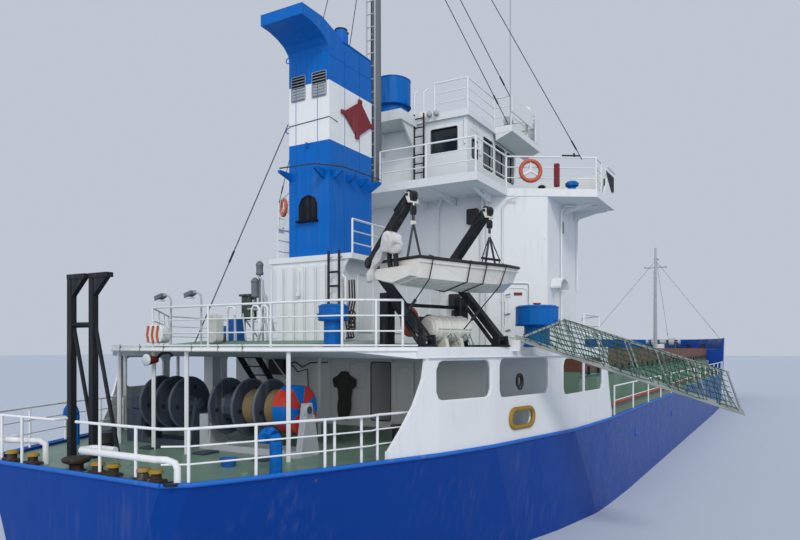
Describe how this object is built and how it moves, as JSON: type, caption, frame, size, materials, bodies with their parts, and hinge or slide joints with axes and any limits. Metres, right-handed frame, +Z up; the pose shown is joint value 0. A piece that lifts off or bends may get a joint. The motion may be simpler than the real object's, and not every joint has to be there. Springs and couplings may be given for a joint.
{
  "type": "small coastal cargo ship, 1:2 scale model",
  "caption": "Coastal cargo ship with an aft superstructure: wheelhouse over stepped decks, funnel, davits with a boat, mooring winches, covered hold and forecastle",
  "frame": {"origin": "On the centreline at the waterline, half way between transom and stem head", "axes": "+X forward to the bow, +Y to port, +Z up"},
  "size_m": [37.56, 8.8083, 13.15],
  "materials": {
    "hull_blue": "gloss marine paint over welded plate",
    "white_paint": "semi-gloss marine paint",
    "funnel_blue": "semi-gloss marine paint",
    "deck_green": "matt non-slip deck paint",
    "cover_brown": "matt paint",
    "slate_grey": "semi-gloss paint, worn at the edges",
    "black_paint": "semi-gloss paint",
    "grey_paint": "semi-gloss paint",
    "boat_white": "glossy glass-fibre laminate",
    "dark_cover": "weathered cover",
    "bare_metal": "bare, weathered",
    "antifouling": "matt antifouling paint",
    "bronze": "cast bronze"
  },
  "bodies": {
    "ship": {"hull": "hull_blue", "forecastle": "hull_blue", "anchor_starboard": "black_paint", "anchor_port": "black_paint", "windlass_frame": "slate_grey", "foremast": "grey_paint", "hatch_coaming": "deck_green", "poop_shell_starboard": "white_paint", "poop_shell_port": "white_paint", "lower_deckhouse": "white_paint", "boat_deck": "deck_green", "stair": "black_paint", "upper_deckhouse": "white_paint", "bridge_deck": "white_paint", "wheelhouse": "white_paint", "compass_deck": "white_paint", "engine_casing": "white_paint", "funnel": "funnel_blue", "vent_boat_deck_aft": "funnel_blue", "vent_boat_deck_side": "funnel_blue", "vent_compass_deck": "funnel_blue", "gooseneck_vent_starboard": "funnel_blue", "gooseneck_vent_port": "funnel_blue", "main_mast": "grey_paint", "davit_stands": "black_paint", "liferaft": "boat_white", "winch_frame_port": "slate_grey", "winch_frame_starboard": "slate_grey", "stern_rails_port": "white_paint", "bollards_starboard": "black_paint", "bollards_port": "black_paint", "stern_gallows": "black_paint", "stern_rails_starboard": "white_paint", "rails_boat_deck": "white_paint", "rails_boat_deck_fore": "white_paint", "rails_bridge_deck": "white_paint", "rails_compass_deck": "white_paint", "rails_main_deck_starboard": "white_paint", "rails_main_deck_port": "white_paint", "hatch_cover_1": "cover_brown", "hatch_cover_2": "cover_brown", "hatch_cover_3": "cover_brown", "hatch_cover_4": "cover_brown"},
    "screw": {"propeller": "bronze"},
    "rudder_blade": {"rudder": "antifouling"},
    "radar": {"radar_scanner": "white_paint"},
    "davit_arms": {"davit_arm_1": "black_paint", "davit_arm_2": "black_paint"},
    "lifeboat": {"rescue_boat": "boat_white", "outboard_motor": "dark_cover"},
    "door_aft": {"aft_door": "white_paint"},
    "drums_port": {"winch_drums_port": "slate_grey"},
    "drums_starboard": {"winch_drums_starboard": "slate_grey"},
    "windlass_shaft": {"windlass_barrels": "grey_paint"},
    "gangway_bridge": {"gangway": "bare_metal"},
    "door_house_starboard": {"house_door_starboard": "white_paint"},
    "door_house_port": {"house_door_port": "white_paint"},
    "door_wheelhouse_starboard": {"wheelhouse_door_starboard": "white_paint"},
    "door_wheelhouse_port": {"wheelhouse_door_port": "white_paint"}
  },
  "joints": [
    {"name": "propeller_turn", "type": "hinge", "parent": "ship", "child": "screw", "pos_m": [-16.35, 0, -1.1], "axis": [1, 0, 0], "continuous": true},
    {"name": "rudder_turn", "type": "hinge", "parent": "ship", "child": "rudder_blade", "pos_m": [-17, 0, -0.5], "axis": [0, 0, 1], "range_deg": [-35, 35]},
    {"name": "radar_turn", "type": "hinge", "parent": "ship", "child": "radar", "pos_m": [-13.275, -0.35, 8.75], "axis": [0, 0, 1], "continuous": true},
    {"name": "davit_luff", "type": "hinge", "parent": "ship", "child": "davit_arms", "pos_m": [-16.19451, -2.46821, 2.69], "axis": [0.9511, -0.309, 0], "range_deg": [0, 38]},
    {"name": "boat_hang", "type": "hinge", "parent": "davit_arms", "child": "lifeboat", "pos_m": [-16.37546, -2.37788, 4.235], "axis": [0.9511, -0.309, 0], "range_deg": [-38, 0]},
    {"name": "aft_door_swing", "type": "hinge", "parent": "ship", "child": "door_aft", "pos_m": [-14.195, -0.8375, 1.95], "axis": [0, 0, 1], "range_deg": [-180, 0]},
    {"name": "winch_turn_port", "type": "hinge", "parent": "ship", "child": "drums_port", "pos_m": [-16.85, 0.725, 1.91], "axis": [0, 1, 0], "continuous": true},
    {"name": "winch_turn_starboard", "type": "hinge", "parent": "ship", "child": "drums_starboard", "pos_m": [-16.85, -0.7, 1.91], "axis": [0, 1, 0], "continuous": true},
    {"name": "windlass_turn", "type": "hinge", "parent": "ship", "child": "windlass_shaft", "pos_m": [15.8, 0, 2.8753], "axis": [0, 1, 0], "continuous": true},
    {"name": "gangway_luff", "type": "hinge", "parent": "ship", "child": "gangway_bridge", "pos_m": [-14.625, -2.94, 2.71], "axis": [0.9394, 0.3429, 0], "range_deg": [-30, 0]},
    {"name": "house_door_starboard_swing", "type": "hinge", "parent": "ship", "child": "door_house_starboard", "pos_m": [-12.90025, -2.08826, 3.15], "axis": [0, 0, 1], "range_deg": [-100, 0]},
    {"name": "wheelhouse_door_starboard_swing", "type": "hinge", "parent": "ship", "child": "door_wheelhouse_starboard", "pos_m": [-12.58, -1.54, 5.6], "axis": [0, 0, 1], "range_deg": [0, 100]},
    {"name": "house_door_port_swing", "type": "hinge", "parent": "ship", "child": "door_house_port", "pos_m": [-12.90025, 2.08826, 3.15], "axis": [0, 0, 1], "range_deg": [0, 100]},
    {"name": "wheelhouse_door_port_swing", "type": "hinge", "parent": "ship", "child": "door_wheelhouse_port", "pos_m": [-12.58, 1.54, 5.6], "axis": [0, 0, 1], "range_deg": [-100, 0]}
  ],
  "couplings": [
    {"joint": "boat_hang", "follows": "davit_luff", "ratio": -1}
  ]
}
